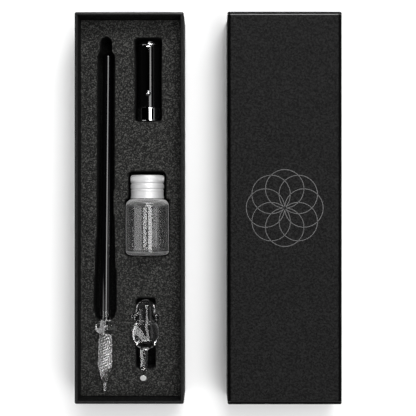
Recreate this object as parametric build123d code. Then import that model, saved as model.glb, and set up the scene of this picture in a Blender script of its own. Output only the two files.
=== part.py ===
from build123d import *
import os
from math import asin, cos, degrees, pi, radians, sin, sqrt

# Glass dip pen set: a black card box with its lid off, and the glass in its foam insert.
# Millimetres. X runs across the box, Y along it towards the pen's blunt end, Z up.
# The origin is the middle of the tray's underside. The lid lies beside the tray.

# Card and paper
BOARD = 1.2
PAPER = 0.2
WALL = BOARD + 2 * PAPER
FLOOR = PAPER + BOARD
CORNER_RADIUS = 0.9
BASE_EDGE_TIGHTER = 0.1
RIM_ROUND = 0.3
TURN_IN = 18.0

# Tray
TRAY_WIDTH = 54.6
TRAY_LENGTH = 196.0
TRAY_HEIGHT = 30.0

# Lid, which slides down over the tray
LID_PLAY = 0.1
LID_WIDTH = TRAY_WIDTH + 2 * (LID_PLAY + WALL)
LID_LENGTH = TRAY_LENGTH + 2 * (LID_PLAY + WALL)
LID_HEIGHT = 23.5
LID_GAP = 22.0
LID_X = TRAY_WIDTH / 2 + LID_GAP + LID_WIDTH / 2

# Foam, two layers on the tray's floor
PAD_THICKNESS = 5.6
RIM_DEPTH = 10.0
PAD_TOP = FLOOR + PAD_THICKNESS
FOAM_TOP = TRAY_HEIGHT - RIM_DEPTH
FOAM_WIDTH = TRAY_WIDTH - 2 * WALL
FOAM_LENGTH = TRAY_LENGTH - 2 * WALL
REST_GAP = 0.3

# Pen, measured from its blunt end along its own axis
PEN_X = -12.7
PEN_END_Y = 80.8
ROD_RADIUS = 2.55
BALL_AT = 142.2
BALL_RADIUS = 5.1
BALL_HALF_LENGTH = 3.95
BALL_STANDS = 2.8
COLLAR_LENGTH = 5.2
COLLAR_WALL = 0.45
PEN_END_Z = PAD_TOP + REST_GAP + ROD_RADIUS
PEN_PITCH = degrees(asin((FOAM_TOP + BALL_STANDS - PEN_END_Z) / BALL_AT))
BALL_Y = PEN_END_Y - BALL_AT * cos(radians(PEN_PITCH))

# Nib, measured from the ball
NIB_NECK_RADIUS = 2.95
NIB_SWELL_LENGTH = 4.0
NIB_SWELL_RADIUS = 3.4
NIB_RADIUS = 3.65
NIB_BODY_LENGTH = 16.1
NIB_TAPER_LENGTH = 8.35
NIB_TAPER_BULGE = 0.87
NIB_TIP_ROOT_RADIUS = 0.85
NIB_TIP_RADIUS = 0.5
NIB_TIP_LENGTH = 4.3
NIB_FLUTES = 12
NIB_FLUTE_DEPTH = 0.12
NIB_TWIST_PER_MM = 11.4
NIB_STEP = 1.2

# Pen slot in the foam, either side of its own centre line
SLOT_X = -12.65
SLOT_LEAN = 0.25
SLOT_HALF = 4.15
SLOT_WIDE_HALF = 5.5
SLOT_FOOT_HALF = 3.6
SLOT_FLARE = 50.0
SLOT_WIDE_FROM_FOOT = 8.8
SLOT_FOOT_Y = BALL_Y + BALL_HALF_LENGTH
NOTCH_HALF = ROD_RADIUS + REST_GAP
NOTCH_LENGTH = 7.3
NOTCH_SHOULDER = 1.7
ROD_IN_NOTCH = 2.5
SLOT_SHOULDER_Y = PEN_END_Y - ROD_IN_NOTCH

# Nib cap, lying along Y with its open end towards -Y
CAP_X = 8.9
CAP_MOUTH_Y = 44.7
CAP_BORE_PLAY = 0.15
CAP_BORE_RADIUS = BALL_RADIUS + CAP_BORE_PLAY
CAP_WALL = 0.7
CAP_RADIUS = CAP_BORE_RADIUS + CAP_WALL
CAP_BORE_DEPTH = 36.5
CAP_BORE_CHAMFER = 1.0
CAP_END_WALL = 2.3
CAP_LENGTH = CAP_BORE_DEPTH + CAP_END_WALL
CAP_CHAMFER = 0.4
FINIAL_LENGTH = 2.0
FINIAL_SIDE = 1.2
FINIAL_RADIUS = 5.3
LIP_BAND_LENGTH = 6.8
LIP_BAND_WALL = 0.5
LIP_BAND_STANDS = 0.25
LIP_BAND_LIP = 0.4
LIP_BAND_CHAMFER = 0.2
LIP_BAND_RADIUS = CAP_RADIUS + LIP_BAND_STANDS
CAP_Z = PAD_TOP + REST_GAP + LIP_BAND_RADIUS

# Clip on the nib cap
CLIP_RING_WIDTH = 0.8
CLIP_RING_RADIUS = CAP_RADIUS + 0.2
CLIP_WIDTH = 1.6
CLIP_THICKNESS = 0.5
CLIP_LENGTH = 25.0
CLIP_ROOT_RISE = 0.9
CLIP_ROOT_LENGTH = 1.0
CLIP_BALL_RADIUS = 1.35
CLIP_GAP = 0.3

# Nib cap pocket
CAP_POCKET_SIDE = 0.8
CAP_POCKET_WAIST = 0.5
CAP_POCKET_END = 0.6
CAP_POCKET_CORNER = 1.6

# Vial, lying along Y with its cap towards +Y
VIAL_X = 8.3
VIAL_BASE_Y = -23.9
VIAL_RADIUS = 11.0
VIAL_BODY_LENGTH = 28.4
VIAL_WALL = 1.1
VIAL_BASE = 1.9
VIAL_SHOULDER_WALL = 1.3
VIAL_HEEL_RADIUS = 2.0
VIAL_HEEL_RADIUS_INSIDE = 1.4
VIAL_SHOULDER_RADIUS = 3.6
VIAL_SHOULDER_RADIUS_INSIDE = 3.0
VIAL_NECK_RADIUS = 7.2
VIAL_NECK_WALL = 1.4
VIAL_NECK_LENGTH = 10.9
VIAL_LIP_ROUND = 0.5
VIAL_Z = PAD_TOP + REST_GAP + VIAL_RADIUS

# Screw cap of the vial, measured from the foot of its skirt
SCREW_CAP_THREAD_ROOM = 0.55
SCREW_CAP_WALL = 0.35
SCREW_CAP_GROOVE = 0.4
SCREW_CAP_RADIUS = VIAL_NECK_RADIUS + SCREW_CAP_THREAD_ROOM + SCREW_CAP_WALL + SCREW_CAP_GROOVE
SCREW_CAP_SKIRT_GAP = 0.3
SCREW_CAP_SKIRT = 3.95
SCREW_CAP_GROOVE_WIDTH = 1.5
SCREW_CAP_RIDGE = 1.5
SCREW_CAP_CORNER = 0.9
SCREW_TRAVEL = 1.5
LINER_THICKNESS = 1.0
LINER_RADIUS = VIAL_NECK_RADIUS + 0.3

# Vial pocket
VIAL_POCKET_SIDE = 0.3
VIAL_POCKET_CORNER = 1.6
SCREW_CAP_POCKET_SIDE = 0.85
SCREW_CAP_POCKET_CORNER = 1.4

# Pen rest, measured from the top of its head towards -Y
REST_X = 7.7
REST_HEAD_Y = -46.6
REST_STANDS = 2.3
REST_HEAD_RADIUS = 4.8
REST_CREASE_AT = 11.85
REST_CHEST_RADIUS = 5.5
REST_CREASE_RADIUS = 5.8
REST_BELLY_AT = 17.4
REST_BELLY_RADIUS = 6.75
REST_BELLY_REAR = 8.0
REST_KNOB_AT = 8.4
REST_KNOB_OFFSET = 5.5
REST_KNOB_RADIUS = 1.9
REST_Z = FOAM_TOP + REST_STANDS

# Tail of the pen rest
TAIL_SHIFT = 0.8
TAIL_ROOT_RADIUS = 2.1
TAIL_RADIUS = 1.65
TAIL_ROOT_IN_BELLY = 1.5
TAIL_BEND_AT = 33.0
TAIL_BEND_RADIUS = 5.0
TAIL_ANGLE = 68.0
TAIL_END_LENGTH = 3.2

# Pen rest slot
REST_SLOT_WIDTH = 9.7
REST_SLOT_PAST_BEND = 2.1
REST_SLOT_CORNER = 0.6


def turned(outline):
    """A solid of revolution about X from the upper half of its outline."""
    return revolve(make_face(outline), axis=Axis.X)


def card_block(width, length, height, inset, bottom, radius):
    """A block with rounded upright corners and rounded bottom edges, inset on every side."""
    block = extrude(RectangleRounded(width - 2 * inset, length - 2 * inset, radius), height - bottom)
    block = fillet(block.faces().sort_by(Axis.Z)[0].edges(), radius - BASE_EDGE_TIGHTER)
    return Pos(0, 0, bottom) * block


def card_cavity(width, length, height, inset, bottom):
    """The hollow of an open-topped box, inset from its outside."""
    return Pos(0, 0, bottom) * extrude(Rectangle(width - 2 * inset, length - 2 * inset), height - bottom)


def box_board(width, length, height):
    """Greyboard walls and floor, open at the top, just inside the paper."""
    block = card_block(width, length, height - PAPER, PAPER, PAPER, CORNER_RADIUS - PAPER)
    return block - card_cavity(width, length, height, PAPER + BOARD, FLOOR)


def box_wrap(width, length, height):
    """Paper round the outside of the board, over its rim and down inside the walls."""
    skin = card_block(width, length, height, 0, 0, CORNER_RADIUS)
    skin -= card_cavity(width, length, height, PAPER + BOARD, FLOOR)
    skin -= box_board(width, length, height)
    turned_in = card_cavity(width, length, height, PAPER + BOARD, height - TURN_IN)
    skin += turned_in - card_cavity(width, length, height, WALL, FLOOR)
    return fillet(skin.faces().sort_by(Axis.Z)[-1].edges(), RIM_ROUND)


def as_lid(shell):
    """Turn an open-topped shell over and lay it beside the tray."""
    return Pos(LID_X, 0, LID_HEIGHT) * Rot(0, 180, 0) * shell


def pocket(x, y_low, y_high, width, waist, corner):
    """A rounded pocket through the upper foam, its long sides bowed in by the waist."""
    length = y_high - y_low
    outline = Pos(x, (y_low + y_high) / 2) * Rectangle(width, length)
    outline = fillet(outline.vertices(), corner)
    hollow = Pos(0, 0, PAD_TOP) * extrude(outline, FOAM_TOP - PAD_TOP)
    if waist > 0:
        bow = (length ** 2 / 4 + waist ** 2) / (2 * waist)
        for side in (-1, 1):
            middle = Pos(x + side * (width / 2 - waist + bow), (y_low + y_high) / 2, PAD_TOP)
            hollow -= middle * extrude(Circle(bow), FOAM_TOP - PAD_TOP)
    return hollow


def pen_slot():
    """Long slot for the rod, wide where it nears the ball, with a notch at the blunt end."""
    shoulder_y = SLOT_SHOULDER_Y
    wide_y = SLOT_FOOT_Y + SLOT_WIDE_FROM_FOOT
    notch_foot = (NOTCH_HALF, shoulder_y + NOTCH_SHOULDER)
    shoulder = (SLOT_HALF, shoulder_y)
    flare = (SLOT_HALF, wide_y + SLOT_FLARE)
    wide = (SLOT_WIDE_HALF, wide_y)
    foot = (SLOT_FOOT_HALF, SLOT_FOOT_Y)
    half = Spline((0, notch_foot[1] + NOTCH_LENGTH), notch_foot, tangents=((1, 0), (0, -1)))
    half += Polyline(notch_foot, shoulder, flare)
    half += Spline(flare, wide, tangents=((0, -1), (0, -1)))
    half += Spline(wide, foot, tangents=((0, -1), (-1, -1)))
    half += Line(foot, (0, SLOT_FOOT_Y))
    outline = make_face(half + mirror(half, Plane.YZ))
    leaning = Pos(SLOT_X, shoulder_y, 0) * Rot(0, 0, -SLOT_LEAN) * Pos(0, -shoulder_y, 0) * outline
    return Pos(0, 0, PAD_TOP) * extrude(leaning, FOAM_TOP - PAD_TOP)


def foam_pad():
    """Plain layer on the tray's floor, under every pocket."""
    return Pos(0, 0, FLOOR) * extrude(Rectangle(FOAM_WIDTH, FOAM_LENGTH), PAD_TOP - FLOOR)


def nib_cap_pocket():
    """Pocket for the nib cap, waisted so that the foam holds it."""
    low = CAP_MOUTH_Y - REST_GAP
    high = CAP_MOUTH_Y + CAP_LENGTH + CLIP_RING_WIDTH + FINIAL_LENGTH + CAP_POCKET_END
    width = 2 * (LIP_BAND_RADIUS + CAP_POCKET_SIDE)
    return pocket(CAP_X, low, high, width, CAP_POCKET_WAIST, CAP_POCKET_CORNER)


def vial_pocket():
    """Close pocket for the vial's body, and a looser one for its screw cap."""
    low = VIAL_BASE_Y - REST_GAP
    neck_y = VIAL_BASE_Y + VIAL_BODY_LENGTH
    high = screw_cap_top() + SCREW_TRAVEL + REST_GAP
    body_width = 2 * (VIAL_RADIUS + VIAL_POCKET_SIDE)
    cap_width = 2 * (SCREW_CAP_RADIUS + SCREW_CAP_POCKET_SIDE)
    body = pocket(VIAL_X, low, neck_y + REST_GAP, body_width, 0, VIAL_POCKET_CORNER)
    cap = pocket(VIAL_X, neck_y - VIAL_POCKET_CORNER, high, cap_width, 0, SCREW_CAP_POCKET_CORNER)
    return body + cap


def rest_slot():
    """Slot under the pen rest, narrower than its belly."""
    high = REST_HEAD_Y + REST_GAP
    low = REST_HEAD_Y - TAIL_BEND_AT - REST_SLOT_PAST_BEND
    return pocket(REST_X, low, high, REST_SLOT_WIDTH, 0, REST_SLOT_CORNER)


def foam_insert():
    """Upper layer with its pockets, and dents where glass wider than its slot lies."""
    layer = Pos(0, 0, PAD_TOP) * extrude(Rectangle(FOAM_WIDTH, FOAM_LENGTH), FOAM_TOP - PAD_TOP)
    layer -= pen_slot()
    layer -= nib_cap_pocket()
    layer -= vial_pocket()
    layer -= rest_slot()
    layer -= pen_placed(pen_dent())
    layer -= rest_placed(rest_body(REST_GAP))
    return layer


def pen_placed(shape):
    """Lay a pen piece, made along +X from the blunt end, in its slot: blunt end down."""
    return Pos(PEN_X, PEN_END_Y, PEN_END_Z) * Rot(0, 0, -90) * Rot(0, -PEN_PITCH, 0) * shape


def ball_cut(radius):
    """How far from the ball's middle its surface comes down to a radius."""
    return BALL_HALF_LENGTH * sqrt(1 - (radius / BALL_RADIUS) ** 2)


def collar_start():
    """Where along the pen the clear collar begins, and the rod steps in to its rounded inner end."""
    return BALL_AT - ball_cut(ROD_RADIUS) - COLLAR_LENGTH


def pen_rod():
    """Black glass rod with a domed blunt end, and a rounded inner end that the collar covers."""
    step = collar_start()
    dome = CenterArc((ROD_RADIUS, 0), ROD_RADIUS, 180, -90)
    inner_end = CenterArc((step, 0), ROD_RADIUS - COLLAR_WALL, 90, -90)
    outline = dome + Polyline(dome @ 1, (step, ROD_RADIUS), inner_end @ 0)
    return turned(outline + inner_end + Line(inner_end @ 1, dome @ 0))


def flattened_ball(extra):
    """The ball, shorter along the pen than it is wide, grown all over by a little."""
    half_length = BALL_HALF_LENGTH + extra
    arc = EllipticalCenterArc((BALL_AT, 0), half_length, BALL_RADIUS + extra, arc_size=180)
    return turned(arc + Line(arc @ 1, arc @ 0))


def pen_ball():
    """Clear ball, flat where the nib is fused to it, with the collar that takes the rod's end."""
    end = ball_cut(NIB_NECK_RADIUS)
    slab = Pos(BALL_AT + end - BALL_RADIUS, 0, 0) * Box(2 * BALL_RADIUS, 4 * BALL_RADIUS, 4 * BALL_RADIUS)
    collar_length = BALL_AT - collar_start()
    collar = Cylinder(ROD_RADIUS, collar_length, rotation=(0, 90, 0))
    glass = flattened_ball(0) & slab
    glass += Pos(BALL_AT - collar_length / 2, 0, 0) * collar
    return glass - Pos(collar_start(), 0, 0) * Sphere(ROD_RADIUS - COLLAR_WALL)


def nib_radius(along):
    """Crest radius of the nib at a distance from the ball: neck, body, taper and straight tip."""
    taper_end = NIB_BODY_LENGTH + NIB_TAPER_LENGTH
    if along < NIB_SWELL_LENGTH:
        swell = sin(pi / 2 * along / NIB_SWELL_LENGTH)
        return NIB_NECK_RADIUS + (NIB_SWELL_RADIUS - NIB_NECK_RADIUS) * swell
    if along < NIB_BODY_LENGTH:
        done = (along - NIB_SWELL_LENGTH) / (NIB_BODY_LENGTH - NIB_SWELL_LENGTH)
        return NIB_SWELL_RADIUS + (NIB_RADIUS - NIB_SWELL_RADIUS) * done
    if along < taper_end:
        left = (taper_end - along) / NIB_TAPER_LENGTH
        return NIB_TIP_ROOT_RADIUS + (NIB_RADIUS - NIB_TIP_ROOT_RADIUS) * left ** NIB_TAPER_BULGE
    done = (along - taper_end) / NIB_TIP_LENGTH
    return NIB_TIP_ROOT_RADIUS + (NIB_TIP_RADIUS - NIB_TIP_ROOT_RADIUS) * done


def nib_section(along):
    """Star-like section of the nib, turned on by the twist: a crest and a valley for each flute."""
    crest = nib_radius(along)
    valley = crest * (1 - NIB_FLUTE_DEPTH)
    points = []
    for index in range(2 * NIB_FLUTES):
        angle = radians(NIB_TWIST_PER_MM * along) + pi * index / NIB_FLUTES
        radius = crest if index % 2 == 0 else valley
        points.append((0, radius * cos(angle), radius * sin(angle)))
    return Pos(BALL_AT + ball_cut(NIB_NECK_RADIUS) + along, 0, 0) * Wire.make_polygon(points)


def pen_nib():
    """Clear nib: fluted all round, twisted, and drawn down to a fine blunt tip."""
    length = NIB_BODY_LENGTH + NIB_TAPER_LENGTH + NIB_TIP_LENGTH
    steps = round(length / NIB_STEP)
    sections = [nib_section(length * step / steps) for step in range(steps + 1)]
    return Solid.make_loft(sections, ruled=True)


def pen_dent():
    """The room that the ball and the nib take up in the foam."""
    nib_start = BALL_AT + ball_cut(NIB_NECK_RADIUS)
    nib = Cylinder(NIB_RADIUS + REST_GAP, NIB_BODY_LENGTH, rotation=(0, 90, 0))
    rod = Cylinder(ROD_RADIUS + REST_GAP, 2 * BALL_HALF_LENGTH, rotation=(0, 90, 0))
    room = flattened_ball(REST_GAP) + Pos(nib_start + NIB_BODY_LENGTH / 2, 0, 0) * nib
    return room + Pos(BALL_AT - BALL_HALF_LENGTH, 0, 0) * rod


def cap_placed(shape):
    """Lay a nib cap piece, made along +X from the mouth, in its pocket."""
    return Pos(CAP_X, CAP_MOUTH_Y, CAP_Z) * Rot(0, 0, 90) * shape


def nib_cap_barrel():
    """Black tube with a closed end, turned down at the mouth for the lip band."""
    seat = LIP_BAND_RADIUS - LIP_BAND_WALL
    outline = Polyline(
        (LIP_BAND_LIP, CAP_BORE_RADIUS),
        (LIP_BAND_LIP, seat),
        (LIP_BAND_LENGTH, seat),
        (LIP_BAND_LENGTH, CAP_RADIUS),
        (CAP_LENGTH - CAP_CHAMFER, CAP_RADIUS),
        (CAP_LENGTH, CAP_RADIUS - CAP_CHAMFER),
        (CAP_LENGTH, 0),
        (CAP_BORE_DEPTH, 0),
        (CAP_BORE_DEPTH, CAP_BORE_RADIUS - CAP_BORE_CHAMFER),
        (CAP_BORE_DEPTH - CAP_BORE_CHAMFER, CAP_BORE_RADIUS),
        (LIP_BAND_LIP, CAP_BORE_RADIUS),
    )
    return turned(outline)


def nib_cap_lip_band():
    """Chrome band pressed over the mouth and turned in over its edge."""
    seat = LIP_BAND_RADIUS - LIP_BAND_WALL
    outline = Polyline(
        (0, CAP_BORE_RADIUS),
        (0, LIP_BAND_RADIUS - LIP_BAND_CHAMFER),
        (LIP_BAND_CHAMFER, LIP_BAND_RADIUS),
        (LIP_BAND_LENGTH - LIP_BAND_CHAMFER, LIP_BAND_RADIUS),
        (LIP_BAND_LENGTH, LIP_BAND_RADIUS - LIP_BAND_CHAMFER),
        (LIP_BAND_LENGTH, seat),
        (LIP_BAND_LIP, seat),
        (LIP_BAND_LIP, CAP_BORE_RADIUS),
        (0, CAP_BORE_RADIUS),
    )
    return turned(outline)


def nib_cap_ring():
    """Chrome ring of the clip, clamped between the barrel and the finial, with the clip's lug."""
    ring = Cylinder(CLIP_RING_RADIUS, CLIP_RING_WIDTH, rotation=(0, 90, 0))
    lug_height = CAP_RADIUS + CLIP_GAP + CLIP_ROOT_RISE
    lug = Pos(0, 0, lug_height / 2) * Box(CLIP_RING_WIDTH, CLIP_WIDTH, lug_height)
    return Pos(CAP_LENGTH + CLIP_RING_WIDTH / 2, 0, 0) * (ring + lug)


def nib_cap_finial():
    """Black end piece with a low dome."""
    start = CAP_LENGTH + CLIP_RING_WIDTH
    rise = FINIAL_LENGTH - FINIAL_SIDE
    dome_radius = (rise ** 2 + FINIAL_RADIUS ** 2) / (2 * rise)
    middle = Pos(start + FINIAL_LENGTH - dome_radius, 0, 0)
    plug = Cylinder(FINIAL_RADIUS, FINIAL_LENGTH, rotation=(0, 90, 0))
    return Pos(start + FINIAL_LENGTH / 2, 0, 0) * plug & middle * Sphere(dome_radius)


def nib_cap_clip():
    """Chrome spring strip that stands off the barrel and ends in a ball."""
    root = CAP_LENGTH - CLIP_GAP
    low = CAP_RADIUS + CLIP_GAP
    knee = root - CLIP_ROOT_LENGTH
    knee_height = low + CLIP_ROOT_RISE
    ball_along = CAP_LENGTH - CLIP_LENGTH
    ball_height = low + CLIP_BALL_RADIUS
    strip = Polyline(
        (root, low),
        (root, knee_height),
        (knee, knee_height + CLIP_THICKNESS),
        (ball_along, ball_height + CLIP_THICKNESS),
        (ball_along, ball_height),
        (knee - CLIP_THICKNESS, knee_height),
        (root - CLIP_THICKNESS, low),
        (root, low),
    )
    blade = extrude(Plane.XZ * make_face(strip), CLIP_WIDTH / 2, both=True)
    return blade + Pos(ball_along, 0, ball_height) * Sphere(CLIP_BALL_RADIUS)


def vial_placed(shape):
    """Lay a vial piece, made along +X from the base, in its pocket."""
    return Pos(VIAL_X, VIAL_BASE_Y, VIAL_Z) * Rot(0, 0, 90) * shape


def vial_outline(start, radius, heel, shoulder_end, shoulder, neck_radius):
    """Half outline of a bottle shape, from the axis at its base to the axis at its mouth."""
    mouth = VIAL_BODY_LENGTH + VIAL_NECK_LENGTH
    base = Line((start, 0), (start, radius - heel))
    heel_arc = CenterArc((start + heel, radius - heel), heel, 180, -90)
    shoulder_arc = CenterArc((shoulder_end - shoulder, radius - shoulder), shoulder, 90, -90)
    side = Line(heel_arc @ 1, shoulder_arc @ 0)
    neck = Polyline(shoulder_arc @ 1, (shoulder_end, neck_radius), (mouth, neck_radius))
    closing = Polyline(neck @ 1, (mouth, 0), (start, 0))
    return base + heel_arc + side + shoulder_arc + neck + closing


def vial_glass():
    """Clear tube drawn in at the shoulder to a plain neck, with a thick rounded base."""
    outside = vial_outline(
        0, VIAL_RADIUS, VIAL_HEEL_RADIUS, VIAL_BODY_LENGTH, VIAL_SHOULDER_RADIUS, VIAL_NECK_RADIUS
    )
    inside = vial_outline(
        VIAL_BASE,
        VIAL_RADIUS - VIAL_WALL,
        VIAL_HEEL_RADIUS_INSIDE,
        VIAL_BODY_LENGTH - VIAL_SHOULDER_WALL,
        VIAL_SHOULDER_RADIUS_INSIDE,
        VIAL_NECK_RADIUS - VIAL_NECK_WALL,
    )
    glass = turned(outside) - turned(inside)
    return fillet(glass.faces().sort_by(Axis.X)[-1].edges(), VIAL_LIP_ROUND)


def vial_liner():
    """Sealing disc between the neck's mouth and the screw cap."""
    middle = VIAL_BODY_LENGTH + VIAL_NECK_LENGTH + LINER_THICKNESS / 2
    return Pos(middle, 0, 0) * Cylinder(LINER_RADIUS, LINER_THICKNESS, rotation=(0, 90, 0))


def screw_cap_top():
    """Where the screw cap's flat top lies along Y."""
    return VIAL_BASE_Y + VIAL_BODY_LENGTH + VIAL_NECK_LENGTH + LINER_THICKNESS + SCREW_CAP_WALL


def rolled_groove(start, radius):
    """Arc of one groove rolled into the cap's side."""
    middle = (start + SCREW_CAP_GROOVE_WIDTH / 2, radius - SCREW_CAP_GROOVE)
    return ThreePointArc((start, radius), middle, (start + SCREW_CAP_GROOVE_WIDTH, radius))


def vial_screw_cap():
    """Rolled aluminium cap: plain skirt, two rolled grooves and an upper band, thin all over."""
    foot = VIAL_BODY_LENGTH + SCREW_CAP_SKIRT_GAP
    top = screw_cap_top() - VIAL_BASE_Y
    radius = SCREW_CAP_RADIUS
    lower = rolled_groove(foot + SCREW_CAP_SKIRT, radius)
    upper = rolled_groove(foot + SCREW_CAP_SKIRT + SCREW_CAP_GROOVE_WIDTH + SCREW_CAP_RIDGE, radius)
    corner = CenterArc((top - SCREW_CAP_CORNER, radius - SCREW_CAP_CORNER), SCREW_CAP_CORNER, 90, -90)
    outline = Polyline((foot, 0), (foot, radius), lower @ 0) + lower
    outline += Line(lower @ 1, upper @ 0) + upper
    outline += Line(upper @ 1, corner @ 0) + corner
    outline += Polyline(corner @ 1, (top, 0), (foot, 0))
    hollow_radius = radius - SCREW_CAP_GROOVE - SCREW_CAP_WALL
    hollow_length = top - SCREW_CAP_WALL - foot
    hollow = Cylinder(hollow_radius, hollow_length, rotation=(0, 90, 0))
    return turned(outline) - Pos(foot + hollow_length / 2, 0, 0) * hollow


def rest_placed(shape):
    """Lay a pen rest piece, made along +X from the head, over its slot."""
    return Pos(REST_X, REST_HEAD_Y, REST_Z) * Rot(0, 0, -90) * shape


def rest_body(extra):
    """Head, chest, belly and side knobs of the pen rest, grown all over by a little."""
    widest = REST_BELLY_RADIUS + extra
    run = REST_BELLY_AT - REST_CREASE_AT
    rise = REST_BELLY_RADIUS - REST_CREASE_RADIUS
    bow = (run ** 2 + rise ** 2) / (2 * rise)
    head = CenterArc((REST_HEAD_RADIUS, 0), REST_HEAD_RADIUS + extra, 180, -90)
    front = CenterArc((REST_BELLY_AT, widest - bow), bow, 90, degrees(asin((run + extra) / bow)))
    rear = EllipticalCenterArc((REST_BELLY_AT, 0), REST_BELLY_REAR + extra, widest, arc_size=90)
    crease = (REST_CREASE_AT - extra, REST_CHEST_RADIUS + extra)
    outline = head + Polyline(head @ 1, crease, front @ 1)
    body = turned(outline + front + rear + Line(rear @ 0, head @ 0))
    for side in (-1, 1):
        body += Pos(REST_KNOB_AT, side * REST_KNOB_OFFSET, 0) * Sphere(REST_KNOB_RADIUS + extra)
    return body


def rest_tail():
    """Drawn-out stem, bent up at its foot and cut flat."""
    root = REST_BELLY_AT + REST_BELLY_REAR - TAIL_ROOT_IN_BELLY
    length = TAIL_BEND_AT - root
    stem = Cone(TAIL_ROOT_RADIUS, TAIL_RADIUS, length, rotation=(0, 90, 0))
    bend = CenterArc((TAIL_BEND_AT, TAIL_BEND_RADIUS), TAIL_BEND_RADIUS, -90, TAIL_ANGLE)
    end = Line(bend @ 1, (bend @ 1) + (bend % 1) * TAIL_END_LENGTH)
    upright = Plane(origin=(0, 0, 0), x_dir=(1, 0, 0), z_dir=(0, -1, 0))
    section = Plane(origin=(TAIL_BEND_AT, 0, 0), z_dir=(1, 0, 0)) * Circle(TAIL_RADIUS)
    tail = sweep(section, path=upright * (bend + end))
    return Pos(0, -TAIL_SHIFT, 0) * (Pos(root + length / 2, 0, 0) * stem + tail)


def pen_rest():
    """Clear lampworked rest for the pen, lying on its back in the foam."""
    return rest_placed(rest_body(0) + rest_tail())


def make_parts():
    """Every piece of the set by its node name."""
    return {
        "tray_board": box_board(TRAY_WIDTH, TRAY_LENGTH, TRAY_HEIGHT),
        "tray_wrap": box_wrap(TRAY_WIDTH, TRAY_LENGTH, TRAY_HEIGHT),
        "foam_pad": foam_pad(),
        "foam_insert": foam_insert(),
        "lid_board": as_lid(box_board(LID_WIDTH, LID_LENGTH, LID_HEIGHT)),
        "lid_wrap": as_lid(box_wrap(LID_WIDTH, LID_LENGTH, LID_HEIGHT)),
        "pen_rod": pen_placed(pen_rod()),
        "pen_ball": pen_placed(pen_ball()),
        "pen_nib": pen_placed(pen_nib()),
        "nib_cap_barrel": cap_placed(nib_cap_barrel()),
        "nib_cap_lip_band": cap_placed(nib_cap_lip_band()),
        "nib_cap_ring": cap_placed(nib_cap_ring()),
        "nib_cap_finial": cap_placed(nib_cap_finial()),
        "nib_cap_clip": cap_placed(nib_cap_clip()),
        "vial_glass": vial_placed(vial_glass()),
        "vial_liner": vial_placed(vial_liner()),
        "vial_screw_cap": vial_placed(vial_screw_cap()),
        "pen_rest": pen_rest(),
    }


os.makedirs("parts", exist_ok=True)
for name, solid in make_parts().items():
    export_step(solid, f"parts/{name}.step")
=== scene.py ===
from math import asin, atan, cos, degrees, pi, radians, sin, sqrt, tan

import bmesh
import bpy
from mathutils import Matrix, Vector


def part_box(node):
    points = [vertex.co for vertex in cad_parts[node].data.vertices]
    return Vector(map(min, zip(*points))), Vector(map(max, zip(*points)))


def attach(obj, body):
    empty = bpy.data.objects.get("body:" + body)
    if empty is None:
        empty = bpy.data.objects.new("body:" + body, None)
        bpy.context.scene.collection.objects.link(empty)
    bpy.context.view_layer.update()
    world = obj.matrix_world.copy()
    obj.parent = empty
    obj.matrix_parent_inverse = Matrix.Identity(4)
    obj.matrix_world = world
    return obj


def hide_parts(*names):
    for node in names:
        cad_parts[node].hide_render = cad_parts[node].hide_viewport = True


# Glass dip pen set in its black card box: finishes, glass, foam, light and camera.
# Metres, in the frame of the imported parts: X across the box, Y along it, Z up.
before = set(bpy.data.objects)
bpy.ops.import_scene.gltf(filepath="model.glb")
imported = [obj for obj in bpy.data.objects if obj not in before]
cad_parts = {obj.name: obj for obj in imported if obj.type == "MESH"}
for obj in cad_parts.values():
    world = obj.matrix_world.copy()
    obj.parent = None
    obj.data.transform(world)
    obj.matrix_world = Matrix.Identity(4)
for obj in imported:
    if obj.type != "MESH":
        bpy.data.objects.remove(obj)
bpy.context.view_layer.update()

# Camera, straight above the table
CAMERA_X = 0.0394
CAMERA_HEIGHT = 0.480
SENSOR_WIDTH_MM = 36
FRAME_WIDTH_PX = 416
FOCAL_LENGTH_PX = 900

# Foam
FOAM_VOXEL = 0.0008
FOAM_CELL = 0.00046
FOAM_CLUMP = 0.0022
FOAM_RELIEF = 0.0003

# Card box
LID_FOLD_RADIUS = 0.0020
RIM_WIDTH = 0.0016
PAPER_GRAIN = 0.00095
PAPER_FINE_GRAIN = 0.0003
PAPER_WEAR = 0.018
PAPER_RELIEF = 0.00012

# Pen, measured from its blunt end along its own axis
PEN_END = Vector((-0.0127, 0.0808, 0.00985))
ROD_RADIUS = 0.00255
COLLAR_LENGTH = 0.0052
ROD_CLEAR_SKIN = 0.00025
BALL_AT = 0.1422
BALL_RADIUS = 0.0051
BALL_HALF_LENGTH = 0.00395
BALL_HEIGHT = 0.0228
NIB_NECK_RADIUS = 0.00295
NIB_SWELL_LENGTH = 0.0040
NIB_SWELL_RADIUS = 0.0034
NIB_RADIUS = 0.00365
NIB_BODY_LENGTH = 0.0161
NIB_TAPER_LENGTH = 0.00835
NIB_TAPER_BULGE = 0.87
NIB_TIP_ROOT_RADIUS = 0.00085
NIB_TIP_RADIUS = 0.0005
NIB_TIP_LENGTH = 0.0043
NIB_FLUTES = 12
NIB_FLUTE_DEPTH = 0.13
NIB_TWIST_PER_METRE = radians(11400)
GLASS_FILLET = 0.0008

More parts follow.
